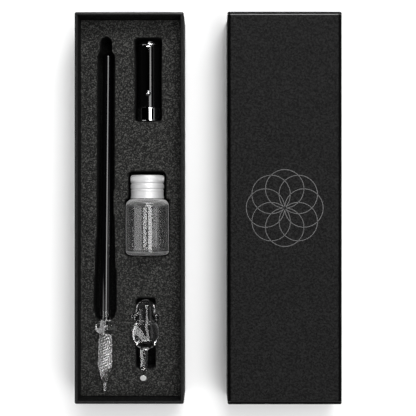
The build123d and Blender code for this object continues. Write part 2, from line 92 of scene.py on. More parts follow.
# Nib cap, measured from its open end
CAP_RADIUS = 0.00595
CAP_LENGTH = 0.0388
CAP_EDGE = 0.0004
CAP_BORE_RADIUS = 0.00525
CAP_BORE_DEPTH = 0.0365
CAP_BORE_FILLET = 0.001
LIP_BAND_LENGTH = 0.0068
LIP_BAND_RADIUS = 0.0062
LIP_BAND_WALL = 0.0005
LIP_BAND_LIP = 0.0004
LIP_BAND_EDGE = 0.0002
LIP_BAND_MOUTH_EDGE = 0.00008
LIP_BAND_REAR_EDGE = 0.00005
CLIP_RING_WIDTH = 0.0008
CLIP_RING_RADIUS = 0.00615
CLIP_RING_EDGE = 0.0002
LUG_SINK = 0.0002
LUG_EDGE = 0.00015
FINIAL_LENGTH = 0.0020
FINIAL_RADIUS = 0.0053
FINIAL_RISE = 0.0008
FINIAL_EDGE = 0.0002
FINIAL_SHOULDER = 0.0004
CLIP_WIDTH = 0.0016
CLIP_THICKNESS = 0.0005
CLIP_CROWN = 0.8
CLIP_LENGTH = 0.025
CLIP_LOW = 0.00625
CLIP_RISE = 0.0009
CLIP_SETBACK = 0.0003
CLIP_FOOT_LIFT = 0.0001
CLIP_HEEL_RADIUS = 0.0006
CLIP_KNEE_AT = 0.004
CLIP_KNEE_RADIUS = 0.004
CLIP_BALL_RADIUS = 0.00135

# Vial and its screw cap, measured from the vial's base
VIAL_RADIUS = 0.011
VIAL_WALL = 0.0011
VIAL_BASE = 0.0019
VIAL_BASE_DIMPLE = 0.0004
VIAL_BASE_CROWN = 0.0003
VIAL_DIMPLE_RADIUS = VIAL_RADIUS * 0.55
VIAL_DIMPLE_BEND = 0.004
VIAL_HEEL_BEND = 0.002
VIAL_HEEL_INNER_BEND = 0.0014
VIAL_BODY_LENGTH = 0.0284
VIAL_SHOULDER_WALL = 0.0013
VIAL_SHOULDER_BEND = 0.0036
VIAL_SHOULDER_INNER_BEND = 0.003
VIAL_NECK_RADIUS = 0.0072
VIAL_NECK_WALL = 0.0014
VIAL_NECK_LENGTH = 0.0109
VIAL_NECK_ROOT_BEND = 0.0006
VIAL_LIP_BEND = 0.0005
SCREW_CAP_RADIUS = 0.0085
SCREW_CAP_FOOT = 0.0287
SCREW_CAP_TOP = 0.04065
SCREW_CAP_WALL = 0.00035
SCREW_CAP_HEM = 0.003
SCREW_CAP_CURL = 0.0008
SCREW_CAP_SKIRT = (0.0011, 0.0036)
SCREW_CAP_GROOVES_AT = (0.00395, 0.00695)
SCREW_CAP_GROOVE_WIDTH = 0.0015
SCREW_CAP_GROOVE = 0.0004
SCREW_CAP_BENDS = (0.0002, 0.0003, 0.0004)
SCREW_CAP_SHOULDER_BEND = 0.0009
SCREW_CAP_DISH = 0.0001
SCREW_CAP_DISH_INSET = 0.0008
RIBS = 84
RIBS_BELOW_TOP = 0.0019
RIB_HALF_LENGTH = 0.0011
RIB_HALF_WIDTH = 0.0002
RIB_HEIGHT = 0.00012
THREAD_PITCH = 0.0021
THREAD_TURNS = 1.5
THREAD_ABOVE_SHOULDER = 0.0045
THREAD_RIDGE = 0.00035

# Pen rest, measured from the top of its head
REST_HEAD_END = Vector((0.0077, -0.0466, 0.0223))
REST_HEAD_RADIUS = 0.0048
REST_CREASE_AT = 0.01185
REST_CHEST_RADIUS = 0.0055
REST_CREASE_RADIUS = 0.0058
REST_CREASE_CUT = 0.0004
REST_BELLY_AT = 0.0174
REST_BELLY_RADIUS = 0.00675
REST_BELLY_REAR = 0.0080
REST_KNOB_AT = 0.0084
REST_KNOB_OFFSET = 0.0055
REST_KNOB_RADIUS = 0.0019
TAIL_SHIFT = 0.0008
TAIL_ROOT_RADIUS = 0.0021
TAIL_RADIUS = 0.00165
TAIL_ROOT_IN_BELLY = 0.0015
TAIL_BEND_AT = 0.0330
TAIL_BEND_RADIUS = 0.0050
TAIL_ANGLE = radians(68)
TAIL_END_LENGTH = 0.0032
TAIL_GROUND_DEPTH = 0.00035
REST_VOXEL = 0.00018

# Foil on the lid
FOIL_RADIUS = 0.0195
FOIL_LINE = 0.00028
FOIL_PETALS = 8
FOIL_THICKNESS = 0.00004

# Meshes
SMOOTH_UNDER = radians(32)
SUPPORT = 0.00015
ON_AXIS = 1e-7
FOAM_WELD = 1e-6
GLASS_WELD = 1e-7

# Table and light
TABLE_HALF = 3.0
SURROUND_STRENGTH = 0.3


# Shader and geometry maths
class Value:
    """One value in a node tree, so that plain arithmetic adds its Math nodes."""

    def __init__(self, maker, socket):
        self.maker = maker
        self.socket = socket

    def math(self, operation, *others):
        return self.maker.math(operation, self, *others)

    def __add__(self, other):
        return self.math("ADD", other)

    def __sub__(self, other):
        return self.math("SUBTRACT", other)

    def __rsub__(self, other):
        return self.maker.math("SUBTRACT", other, self)

    def __mul__(self, other):
        return self.math("MULTIPLY", other)

    def __truediv__(self, other):
        return self.math("DIVIDE", other)

    def __pow__(self, other):
        return self.math("POWER", other)

    def __abs__(self):
        return self.math("ABSOLUTE")

    def limited(self, low=0.0, high=1.0):
        return self.math("MAXIMUM", low).math("MINIMUM", high)

    __radd__ = __add__
    __rmul__ = __mul__


class Tree:
    """A node tree that is being built, for a material or for geometry."""

    def __init__(self, tree):
        self.tree = tree

    def node(self, kind, settings=None, values=None, output=None):
        """Add a node: its settings first, then the values or links of its sockets."""
        made = self.tree.nodes.new(kind)
        for key, value in (settings or {}).items():
            setattr(made, key, value)
        for key, value in (values or {}).items():
            self.join(value, made.inputs[key])
        if output is not None:
            return Value(self, made.outputs[output])
        return Value(self, next(socket for socket in made.outputs if socket.enabled))

    def join(self, value, socket):
        if isinstance(value, Value):
            self.tree.links.new(value.socket, socket)
        else:
            socket.default_value = value

    def math(self, operation, *values):
        return self.node("ShaderNodeMath", {"operation": operation}, dict(enumerate(values)))

    def part(self, vector, axis):
        """One coordinate of a vector."""
        return self.node("ShaderNodeSeparateXYZ", None, {0: vector}, axis)


def grey(level):
    """A plain grey as a colour."""
    return (level, level, level, 1.0)


class Finish(Tree):
    """One material on the Principled shader."""

    def __init__(self, name, **constants):
        self.material = bpy.data.materials.new(name)
        self.material.use_nodes = True
        super().__init__(self.material.node_tree)
        self.shader = self.tree.nodes["Principled BSDF"]
        self.fill(self.shader, constants)

    def fill(self, shader, sockets):
        """Join values to a shader's sockets, named with underscores for spaces."""
        for name, value in sockets.items():
            self.join(value, shader.inputs[name.replace("_", " ")])

    def set(self, name, value):
        """Join one value to the main shader."""
        self.join(value, self.shader.inputs[name])

    def place(self, squeeze=(1.0, 1.0, 1.0)):
        """The piece's own coordinates, each axis squeezed so that what is laid on them runs long."""
        spot = self.node("ShaderNodeTexCoord", output="Object")
        return self.node("ShaderNodeMapping", None, {"Vector": spot, "Scale": squeeze})

    def noise(self, spot, size, detail=3.0, rough=0.55, twist=0.0):
        values = {
            "Vector": spot,
            "Scale": 1 / size,
            "Detail": detail,
            "Roughness": rough,
            "Distortion": twist,
        }
        return self.node("ShaderNodeTexNoise", None, values, "Fac")

    def tint(self, value, dark, light):
        """A colour between two, by a value."""
        mix = self.tree.nodes.new("ShaderNodeMix")
        mix.data_type = "RGBA"
        mix.clamp_factor = False
        factor, first, second, result = mix.inputs[0], mix.inputs[6], mix.inputs[7], mix.outputs[2]
        self.join(value, factor)
        self.join(dark, first)
        self.join(light, second)
        return Value(self, result)

    def bump(self, height, depth, strength=1.0, normal=None):
        """Relief on the surface, from a height of 0 to 1 and its depth in metres."""
        values = {"Height": height, "Distance": depth, "Strength": strength}
        if normal is not None:
            values["Normal"] = normal
        relief = self.node("ShaderNodeBump", None, values)
        self.set("Normal", relief)
        return relief

    def upward(self):
        """How far the surface itself faces up: 1 on top, 0 on an upright side or underneath."""
        return self.part(self.node("ShaderNodeNewGeometry", output="Normal"), "Z").limited()

    def inset(self, spot, low, high, axes="XY"):
        """How far in from the nearest of a box's upright sides, along some axes."""
        sides = []
        for axis in axes:
            index = "XY".index(axis)
            half = (high[index] - low[index]) / 2
            sides.append(half - abs(self.part(spot, axis) - (low[index] + half)))
        nearest = sides[0]
        for side in sides[1:]:
            nearest = side.math("MINIMUM", nearest)
        return nearest

    def overlay(self, share, **constants):
        """Lay a second finish over the first, by a share."""
        over = self.tree.nodes.new("ShaderNodeBsdfPrincipled")
        self.fill(over, constants)
        mix = self.tree.nodes.new("ShaderNodeMixShader")
        self.join(share, mix.inputs[0])
        self.join(Value(self, self.shader.outputs[0]), mix.inputs[1])
        self.join(Value(self, over.outputs[0]), mix.inputs[2])
        self.join(Value(self, mix.outputs[0]), self.tree.nodes["Material Output"].inputs["Surface"])


def embossed_paper(name, node, fold_radius, fold_painted_light, rim_width=None):
    """Black paper with a fine pressed grain, bent round the board and polished at its end folds; a
    negative fold amount paints shade on the top faces at the folds, and a positive one paints a
    highlight there.
    """
    paper = Finish(name, Specular_IOR_Level=0.08)
    spot = paper.place()
    grain = paper.noise(spot, PAPER_GRAIN, detail=2.0, rough=0.6, twist=0.5)
    fine = paper.noise(spot, PAPER_FINE_GRAIN, detail=2.0)
    wear = paper.noise(spot, PAPER_WEAR)
    crest = (grain * 4.0 - 1.5).limited()
    low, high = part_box(node)
    inset = paper.inset(spot, low, high)
    if rim_width:
        inset = inset.math("MINIMUM", rim_width - inset)
    across = (1.0 - inset / fold_radius).limited()
    drop = (1.0 - across * across).limited() ** 0.5 * fold_radius
    end_fold = 1.0 - paper.inset(spot, low, high, "Y") / fold_radius
    polish_first, polish_last = 0.12, 0.5
    polished = ((end_fold - polish_first) * 12.0).limited() * ((polish_last - end_fold) * 8.0).limited()
    darkest, lightest = -0.26, 4.0
    tone = crest * 0.7 + fine * 0.4 + wear * 0.1 - 0.2
    # Painted light on the top faces at the folds: painted shade where the fold amount is negative, a
    # painted highlight where it is positive.
    tone = (tone + across * paper.upward() * fold_painted_light).limited(darkest, lightest)
    paper.set("Base Color", paper.tint(tone, grey(0.004), grey(0.019)))
    paper.set("Roughness", 0.66 - crest * 0.12 + wear * 0.05)
    bend = paper.bump(drop, depth=1.0)
    paper.bump(crest + fine * 0.3, PAPER_RELIEF, normal=bend)
    paper.overlay(polished, Base_Color=grey(0.01), Roughness=0.3, IOR=1.6, Normal=bend)
    return paper.material


def greyboard():
    """Pressed grey board with fibres and flecks."""
    board = Finish("grey board", Specular_IOR_Level=0.2)
    fibre = board.noise(board.place((1.0, 0.25, 1.0)), size=0.0009, detail=4.0, rough=0.7, twist=1.5)
    fleck = board.noise(board.place(), size=0.0022, detail=2.0)
    colour = board.tint(fibre * 0.7 + fleck * 0.3, (0.17, 0.16, 0.145, 1.0), (0.40, 0.38, 0.345, 1.0))
    board.set("Base Color", colour)
    board.set("Roughness", 0.85 + fibre * 0.1)
    board.bump(fibre, depth=0.00008, strength=0.6)
    return board.material


def open_cell_foam(name, painted_shade_factor):
    """Black foam: dark open cells, some struts lightened as painted glints, and cut sides darkened by
    painted shade.
    """
    foam = Finish(name, Specular_IOR_Level=0.15)
    spot = foam.place()
    cell = {"Vector": spot, "Scale": 1 / FOAM_CELL}
    cell_colour = foam.node("ShaderNodeTexVoronoi", {"feature": "F1"}, cell, "Color")
    pick = foam.node("ShaderNodeSeparateColor", None, {"Color": cell_colour}, "Red")
    grit = foam.noise(spot, FOAM_CELL * 0.8, detail=2.0, rough=0.7)
    clump = foam.noise(spot, FOAM_CLUMP, rough=0.65)
    # Painted shade: faces that turn from upward to sideways, the cut sides of the pockets, are darkened
    # nearly to black.
    painted_side_shade = (foam.upward() * 1.3 - 0.3).limited(0.06, 1.0)
    # Random cells lightened to stand for struts catching the light: painted glints over random grain and
    # clumps.
    struts = (pick ** 4 * 1.1 + grit * 0.4 + clump * 0.1 - 0.14).limited()
    # A factor below 1 darkens the whole layer as painted shade.
    colour = foam.tint(struts * painted_side_shade * painted_shade_factor, grey(0.0012), (0.076, 0.076, 0.072, 1.0))
    foam.set("Base Color", colour)
    foam.set("Roughness", 0.95 - pick * 0.2)
    foam.bump(grit * 0.7 + clump * 0.6 + pick * 0.4, FOAM_RELIEF, strength=0.9)
    return foam.material


def black_glass():
    """Opaque black glass with the faint waver of drawn rod."""
    glass = Finish("black glass", Base_Color=(0.0015, 0.0015, 0.0018, 1.0), IOR=1.66)
    waver = glass.noise(glass.place((1.0, 0.08, 1.0)), size=0.0016, detail=2.0)
    glass.set("Roughness", 0.045 + waver * 0.04)
    glass.bump(waver, depth=0.00001, strength=0.5)
    return glass.material


def clear_glass(name, clearness, dust, painted_highlight_rings=()):
    """Clear glass, fire polished, with a breath of dust.

    Thick glass rings are given as (along Y, reach, share); over each, where it is seen edge on, white is
    laid as a painted highlight.
    """
    glass = Finish(name, Base_Color=grey(1.0), IOR=1.51, Transmission_Weight=clearness)
    glass.set("Sheen Weight", dust)
    glass.set("Sheen Roughness", 0.25)
    spot = glass.place()
    swirl = glass.noise(spot, size=0.0045, detail=2.0, rough=0.5, twist=1.2)
    glass.set("Roughness", swirl * 0.008)
    glass.bump(swirl, depth=0.0001, strength=0.25)
    if painted_highlight_rings:
        edge_on = glass.node("ShaderNodeLayerWeight", None, {"Blend": 0.5}, "Facing")
        white = 0.0
        for middle, reach, share in painted_highlight_rings:
            away = abs(glass.part(spot, "Y") - middle)
            white = white + (2.0 - away * 2.0 / reach).limited() * share
        # Painted highlight: white laid over the glass where a thick ring is seen edge on.
        glass.overlay(white * edge_on ** 2.2, Base_Color=grey(1.0), Roughness=0.3)
    return glass.material


def ground_glass():
    """The cut end of the tail, left ground and milky."""
    glass = Finish("ground glass", Transmission_Weight=0.35, IOR=1.5)
    grit = glass.noise(glass.place(), size=0.00018, rough=0.7)
    glass.set("Base Color", glass.tint(grit, (0.42, 0.42, 0.41, 1.0), (0.86, 0.86, 0.85, 1.0)))
    glass.set("Roughness", 0.6 + grit * 0.3)
    glass.bump(grit, depth=0.00005, strength=0.8)
    return glass.material


def black_lacquer():
    """Deep gloss lacquer with very fine orange peel."""
    lacquer = Finish("black lacquer", Base_Color=(0.0015, 0.0015, 0.0016, 1.0), IOR=1.62)
    peel = lacquer.noise(lacquer.place(), size=0.0011, detail=2.0)
    lacquer.set("Roughness", 0.06 + peel * 0.06)
    lacquer.bump(peel, depth=0.00001, strength=0.5)
    return lacquer.material


def chrome():
    """Polished plating with faint rubbing marks."""
    metal = Finish("chrome", Metallic=1.0)
    rub = metal.noise(metal.place((1.0, 0.12, 1.0)), size=0.0007, detail=4.0)
    metal.set("Base Color", metal.tint(rub, (0.72, 0.72, 0.73, 1.0), (0.86, 0.86, 0.87, 1.0)))
    metal.set("Roughness", 0.02 + rub * 0.02)
    return metal.material


def rolled_aluminium():
    """Satin aluminium, etched and a little chalky, with fine rings from rolling and small dents."""
    metal = Finish("rolled aluminium", Metallic=0.55)
    rings = metal.noise(metal.place((0.04, 1.0, 0.04)), size=0.00022, rough=0.7)
    dents = metal.noise(metal.place(), size=0.0019)
    metal.set("Base Color", metal.tint(rings * 0.6 + dents * 0.4, (0.60, 0.60, 0.61, 1.0), grey(0.88)))
    metal.set("Roughness", 0.42 + rings * 0.14 + dents * 0.08)
    metal.bump(rings * 0.5 + dents, depth=0.00004, strength=0.7)
    return metal.material


def sealing_disc():
    """Soft white expanded plastic."""
    disc = Finish("sealing disc", Specular_IOR_Level=0.3)
    pores = disc.noise(disc.place(), size=0.0004)
    disc.set("Base Color", disc.tint(pores, (0.68, 0.68, 0.66, 1.0), (0.86, 0.86, 0.84, 1.0)))
    disc.set("Roughness", 0.6 + pores * 0.2)
    disc.bump(pores, depth=0.00004, strength=0.5)
    return disc.material


def silver_foil():
    """Stamped foil, broken a little by the paper's grain."""
    foil = Finish("silver foil", Metallic=0.6)
    grain = foil.noise(foil.place(), size=0.0004, rough=0.7)
    foil.set("Base Color", foil.tint(grain, grey(0.05), grey(0.20)))
    foil.set("Roughness", 0.35 + grain * 0.3)
    foil.bump(grain, depth=0.00003, strength=0.8)
    return foil.material


def table_top():
    """Plain white seamless paper under the box."""
    return Finish("table", Base_Color=grey(0.96), Roughness=0.9, Specular_IOR_Level=0.1).material


def vial_glass_finish():
    """The vial's clear glass, with painted highlights where its thick heel and shoulder rings, along Y,
    are seen edge on.
    """
    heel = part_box("vial_glass")[0][1]
    shoulder = heel + VIAL_BODY_LENGTH - VIAL_WALL
    return clear_glass("vial glass", 0.98, 0.7, [(heel, 0.002, 0.35), (shoulder, 0.0022, 0.9)])


# The lid's folds are given painted shade.
LID_PAPER = embossed_paper("embossed black paper", "lid_wrap", LID_FOLD_RADIUS, -2.4)
# The tray's rim folds are given a painted highlight.
TRAY_PAPER = embossed_paper("embossed paper, worn rim", "tray_wrap", RIM_WIDTH / 2, 1.2, RIM_WIDTH)
BOARD = greyboard()
FOAM = open_cell_foam("black foam", painted_shade_factor=1.0)
# The bottom layer, seen only down the pockets, is darkened as painted shade.
FOAM_PAD = open_cell_foam("deep black foam", painted_shade_factor=0.12)
BLACK_GLASS = black_glass()
CLEAR_GLASS = clear_glass("clear glass", clearness=1.0, dust=0.12)
VIAL_GLASS = vial_glass_finish()
GROUND_GLASS = ground_glass()
LACQUER = black_lacquer()
CHROME = chrome()
ALUMINIUM = rolled_aluminium()
DISC = sealing_disc()
FOIL = silver_foil()


# Making meshes
def in_scene(name, data):
    """A new object in the scene."""
    made = bpy.data.objects.new(name, data)
    bpy.context.scene.collection.objects.link(made)
    return made


def add_piece(name, mesh, *materials):
    """Put a finished mesh in the scene, smooth but for its sharp edges."""
    mesh.name = name
    mesh.materials.clear()
    for material in materials:
        mesh.materials.append(material)
    mesh.shade_smooth()
    mesh.set_sharp_from_angle(angle=SMOOTH_UNDER)
    return in_scene(name, mesh)


def seat(piece, body, slot, *nodes):
    """Attach a piece to the body it rides on and hide the parts it stands for; the slot argument is not
    used.
    """
    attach(piece, body)
    if nodes:
        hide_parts(*nodes)
    return piece


def finished_mesh(piece):
    """The piece's mesh with its modifiers applied, and the piece itself taken away."""
    bpy.context.view_layer.update()
    mesh = bpy.data.meshes.new_from_object(piece.evaluated_get(bpy.context.evaluated_depsgraph_get()))
    bpy.data.objects.remove(piece)
    return mesh


def as_mesh(shape, name):
    """Turn an edited shape into a mesh."""
    mesh = bpy.data.meshes.new(name)
    shape.to_mesh(mesh)
    shape.free()
    return mesh


def joined(*meshes):
    """Several meshes as one."""
    shape = bmesh.new()
    for mesh in meshes:
        shape.from_mesh(mesh)
    return as_mesh(shape, "joined")


def welded(mesh, distance, outward=False):
    """Merge points that lie together, and turn every face outwards if asked."""
    shape = bmesh.new()
    shape.from_mesh(mesh)
    bmesh.ops.remove_doubles(shape, verts=shape.verts, dist=distance)
    if outward:
        bmesh.ops.recalc_face_normals(shape, faces=shape.faces)
    shape.to_mesh(mesh)
    shape.free()
    return mesh


def softened(name, mesh, voxel, passes):
    """A mesh melted into one skin and smoothed."""
    rough = in_scene(name, mesh)
    melt = rough.modifiers.new("melt", "REMESH")
    melt.mode = "VOXEL"
    melt.voxel_size = voxel
    soften = rough.modifiers.new("soften", "SMOOTH")
    soften.factor = 0.5
    soften.iterations = passes
    return finished_mesh(rough)


def rounded(points, bends, steps=5):
    """An outline with each inner corner rounded, by one radius or by a list of them."""
    if not isinstance(bends, list):
        bends = [bends] * (len(points) - 2)
    outline = [Vector(points[0])]
    for before, corner, after, bend in zip(points, points[1:], points[2:], bends):
        corner = Vector(corner)
        back = (Vector(before) - corner).normalized()
        ahead = (Vector(after) - corner).normalized()
        half = back.angle(ahead) / 2
        if bend <= 0 or abs(half - pi / 2) < 0.01:
            outline.append(corner)
            continue
        reach = bend / tan(half)
        centre = corner + (back + ahead).normalized() * (bend / sin(half))
        start = corner + back * reach - centre
        end = corner + ahead * reach - centre
        for step in range(steps + 1):
            spoke = start.normalized().slerp(end.normalized(), step / steps)
            outline.append(centre + spoke * bend)
    outline.append(Vector(points[-1]))
    return outline


def bent(start, corners, end, steps=5):
    """An outline from start to end, through corners given as (along, radius, bend)."""
    points = [start] + [(along, radius) for along, radius, bend in corners] + [end]
    return rounded(points, [bend for along, radius, bend in corners], steps)


def arc(centre, radius, first, last, steps):
    """Points on an arc, angles in degrees from the along direction."""
    turn = (last - first) / steps
    angles = [radians(first + turn * step) for step in range(steps + 1)]
    return [(centre[0] + radius * cos(a), centre[1] + radius * sin(a)) for a in angles]


def supported(outline):
    """The outline with a point near each end of a long run, so that the run is shaded straight."""
    points = [Vector(outline[0])]
    for first, last in zip(outline, outline[1:]):
        run = Vector(last) - Vector(first)
        if run.length > 6 * SUPPORT:
            step = run.normalized() * SUPPORT
            points += [Vector(first) + step, Vector(last) - step]
        points.append(Vector(last))
    return points


def lathed(outline, around=96, closed=False):
    """A mesh turned round X from points of (along, radius); a closed outline makes a ring."""
    shape = bmesh.new()
    angles = [2 * pi * step / around for step in range(around)]
    rings = []
    for along, radius in supported(outline):
        if radius < ON_AXIS:
            rings.append([shape.verts.new((along, 0, 0))])
        else:
            rings.append([shape.verts.new((along, radius * cos(a), radius * sin(a))) for a in angles])
    pairs = list(zip(rings, rings[1:]))
    if closed:
        pairs.append((rings[-1], rings[0]))
    for first, second in pairs:
        for step in range(around):
            after = (step + 1) % around
            corners = [first[step % len(first)], first[after % len(first)]]
            corners += [second[after % len(second)], second[step % len(second)]]
            if len(set(corners)) > 2:
                shape.faces.new(list(dict.fromkeys(corners)))
    bmesh.ops.recalc_face_normals(shape, faces=shape.faces)
    return as_mesh(shape, "turned")


def knob_mesh(radius, steps, around):
    """A ball turned round X."""
    return lathed(arc((0, 0), radius, 180, 0, steps), around)


def rounded_bar(length, width, height, edge):
    """A bar along X with softened edges, its middle at the origin."""
    shape = bmesh.new()
    bmesh.ops.create_cube(shape, size=1.0, matrix=Matrix.Diagonal((length, width, height, 1)))
    bmesh.ops.bevel(shape, geom=shape.edges[:], offset=edge, segments=3, profile=0.5, affect="EDGES")
    return as_mesh(shape, "bar")


def tube(name, route, thickness, resolution):
    """A round tube with closed ends, along points of (x, y, z, share of the thickness)."""
    line = bpy.data.curves.new(name, "CURVE")
    line.dimensions = "3D"
    line.bevel_depth = thickness
    line.bevel_resolution = resolution
    line.use_fill_caps = True
    path = line.splines.new("POLY")
    path.points.add(len(route) - 1)
    for point, (x, y, z, share) in zip(path.points, route):
        point.co = (x, y, z, 1)
        point.radius = share
    return welded(finished_mesh(in_scene(name, line)), GLASS_WELD, outward=True)


def placed(mesh, place):
    """The mesh, moved to its place."""
    mesh.transform(place)
    return mesh


def along_axis(x, y, z, turn):
    """Where a piece made along +X lies: its start, and the turn of its axis about Z."""
    return Matrix.Translation((x, y, z)) @ Matrix.Rotation(radians(turn), 4, "Z")


def geometry_tree(name, sizes):
    """An empty geometry tree with its sizes as named inputs; a whole number is a count."""
    tree = Tree(bpy.data.node_groups.new(name, "GeometryNodeTree"))
    face = tree.tree.interface
    face.new_socket("Geometry", in_out="OUTPUT", socket_type="NodeSocketGeometry")
    for size, value in sizes.items():
        kind = "NodeSocketInt" if isinstance(value, int) else "NodeSocketFloat"
        face.new_socket(size, in_out="INPUT", socket_type=kind)
    entry = tree.tree.nodes.new("NodeGroupInput")
    return tree, {socket.name: Value(tree, socket) for socket in entry.outputs if socket.name}


def close_tree(tree, geometry, material):
    """End a geometry tree with real faces in one material."""
    geometry = tree.node("GeometryNodeRealizeInstances", None, {"Geometry": geometry})
    dressed = {"Geometry": geometry, "Material": material}
    geometry = tree.node("GeometryNodeSetMaterial", None, dressed)
    tree.join(geometry, tree.tree.nodes.new("NodeGroupOutput").inputs[0])
    return tree.tree


def points_round(tree, count, radius):
    """Geometry points set evenly round a circle."""
    circle = {"Resolution": count, "Radius": radius}
    ring = tree.node("GeometryNodeCurvePrimitiveCircle", None, circle, "Curve")
    return tree.node("GeometryNodeCurveToPoints", {"mode": "EVALUATED"}, {"Curve": ring}, "Points")


def grown(name, group, sizes):
    """Run a geometry tree with its named sizes, and take the result as a plain mesh."""
    holder = in_scene(name, bpy.data.meshes.new(name))
    growth = holder.modifiers.new("growth", "NODES")
    growth.node_group = group
    for socket in group.interface.items_tree:
        if socket.in_out == "INPUT":
            growth[socket.identifier] = sizes[socket.name]
    return finished_mesh(holder)


# Where things lie
def along_node(node):
    """Where a round piece made along +X lies: on the middle line of a node that points along +Y."""
    low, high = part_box(node)
    return along_axis((low[0] + high[0]) / 2, low[1], (low[2] + high[2]) / 2, 90)


PEN_PITCH = asin((BALL_HEIGHT - PEN_END.z) / BALL_AT)
PEN_PLACE = along_axis(*PEN_END, -90) @ Matrix.Rotation(-PEN_PITCH, 4, "Y")
CAP_PLACE = along_node("nib_cap_lip_band")
VIAL_PLACE = along_node("vial_glass")
REST_PLACE = along_axis(*REST_HEAD_END, -90)


# Card box
def dress_box():
    """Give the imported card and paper, and the disc in the screw cap, their finishes."""
    finishes = {
        "tray_wrap": TRAY_PAPER,
        "lid_wrap": LID_PAPER,
        "tray_board": BOARD,
        "lid_board": BOARD,
        "vial_liner": DISC,
    }
    for node, finish in finishes.items():
        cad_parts[node].data.materials[0] = finish


# Foam
def foam_layer(node, name, material):
    """A foam layer with soft cut edges, made from the node's own shape."""
    rough = welded(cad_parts[node].data.copy(), FOAM_WELD)
    foam = add_piece(name, softened(name, rough, FOAM_VOXEL, passes=2), material)
    seat(foam, "tray", "black_foam", node)
    return foam


# Pen
def ball_cut(radius):
    """How far from the ball's middle its surface comes down to a radius."""
    return BALL_HALF_LENGTH * sqrt(1 - (radius / BALL_RADIUS) ** 2)


def collar_start():
    """Where the black rod ends and the clear collar takes over."""
    return BALL_AT - ball_cut(ROD_RADIUS) - COLLAR_LENGTH


def pen_rod():
    """Black rod: domed at its blunt end, and rounded where it sits in the clear collar."""
    core = ROD_RADIUS - ROD_CLEAR_SKIN
    core_end = BALL_AT - ball_cut(ROD_RADIUS) - core
    outline = arc((ROD_RADIUS, 0), ROD_RADIUS, 180, 90, 14)
    outline += [(collar_start(), ROD_RADIUS), (collar_start(), core)]
    outline += arc((core_end, 0), core, 90, 0, 14)
    rod = add_piece("rod", placed(lathed(outline), PEN_PLACE), BLACK_GLASS)
    return seat(rod, "pen", "black_glass", "pen_rod")


def nib_crest(size, out):
    """Crest radius of the nib at a distance from the ball: neck, body, taper and straight tip."""
    swell = (out / size["Swell length"] * (pi / 2)).limited(0.0, pi / 2).math("SINE")
    done = ((out - size["Swell length"]) / (size["Body length"] - size["Swell length"])).limited()
    body = size["Neck radius"] + (size["Swell radius"] - size["Neck radius"]) * swell
    body = body + (size["Body radius"] - size["Swell radius"]) * done
    past = out - size["Body length"] - size["Taper length"]
    left = (past * -1.0 / size["Taper length"]).limited() ** size["Taper bulge"]
    tip_done = (past / size["Tip length"]).limited()
    tip = size["Tip root radius"] + (size["Tip radius"] - size["Tip root radius"]) * tip_done
    return tip + (body - tip) * left


def clear_end_tree(sizes):
    """Geometry: collar, ball, and a nib fluted and twisted to its tip, all in one skin."""
    tree, size = geometry_tree("clear end", sizes)
    pipe = {"Vertices": size["Around"], "Side Segments": size["Rings"], "Radius": 1.0, "Depth": 1.0}
    skin = tree.node("GeometryNodeMeshCylinder", {"fill_type": "NGON"}, pipe, "Mesh")
    spot = tree.node("GeometryNodeInputPosition")
    along = (tree.part(spot, "Z") + 0.5) * size["Length"]
    angle = tree.part(spot, "Y").math("ARCTAN2", tree.part(spot, "X"))
    out = along - size["Nib at"]
    crest = nib_crest(size, out)
    before_ball = along.math("LESS_THAN", size["Ball at"])
    stem = crest + (size["Collar radius"] - crest) * before_ball
    share = (along - size["Ball at"]) / size["Ball half length"]
    ball = size["Ball radius"] * (1.0 - share * share).limited() ** 0.5
    radius = stem.math("SMOOTH_MAX", ball, size["Fillet"])
    wave = abs((angle * size["Flutes"] * 0.5).math("SINE")) ** 0.5
    cut = (out / size["Fillet"]).limited() * size["Flute depth"] * (1.0 - wave)
    end = ((size["Length"] - along) / size["Tip radius"]).limited(0.01, 1.0)
    radius = radius * (1.0 - cut) * (end * (2.0 - end)) ** 0.5
    turn = angle + out * size["Twist"]
    place = {"X": along, "Y": radius * turn.math("COSINE"), "Z": radius * turn.math("SINE")}
    moved = tree.node("ShaderNodeCombineXYZ", None, place)
    skin = tree.node("GeometryNodeSetPosition", None, {"Geometry": skin, "Position": moved})
    return close_tree(tree, skin, CLEAR_GLASS)


def pen_clear_end():
    """The clear glass of the pen, drawn from one piece: collar, ball and twisted nib."""
    start = collar_start()
    nib_at = BALL_AT + ball_cut(NIB_NECK_RADIUS) - start
    sizes = {
        "Length": nib_at + NIB_BODY_LENGTH + NIB_TAPER_LENGTH + NIB_TIP_LENGTH,
        "Collar radius": ROD_RADIUS,
        "Ball at": BALL_AT - start,
        "Ball radius": BALL_RADIUS,
        "Ball half length": BALL_HALF_LENGTH,
        "Nib at": nib_at,
        "Neck radius": NIB_NECK_RADIUS,
        "Swell length": NIB_SWELL_LENGTH,
        "Swell radius": NIB_SWELL_RADIUS,
        "Body length": NIB_BODY_LENGTH,
        "Body radius": NIB_RADIUS,
        "Taper length": NIB_TAPER_LENGTH,
        "Taper bulge": NIB_TAPER_BULGE,
        "Tip root radius": NIB_TIP_ROOT_RADIUS,
        "Tip radius": NIB_TIP_RADIUS,
        "Tip length": NIB_TIP_LENGTH,
        "Flutes": float(NIB_FLUTES),
        "Flute depth": NIB_FLUTE_DEPTH,
        "Twist": NIB_TWIST_PER_METRE,
        "Fillet": GLASS_FILLET,
        "Around": 16 * NIB_FLUTES,
        "Rings": 330,
    }
    mesh = welded(grown("clear_end", clear_end_tree(sizes), sizes), GLASS_WELD, outward=True)
    place = PEN_PLACE @ Matrix.Translation((start, 0, 0))
    glass = add_piece("clear_end", placed(mesh, place), CLEAR_GLASS)
    return seat(glass, "pen", "clear_glass", "pen_ball", "pen_nib")


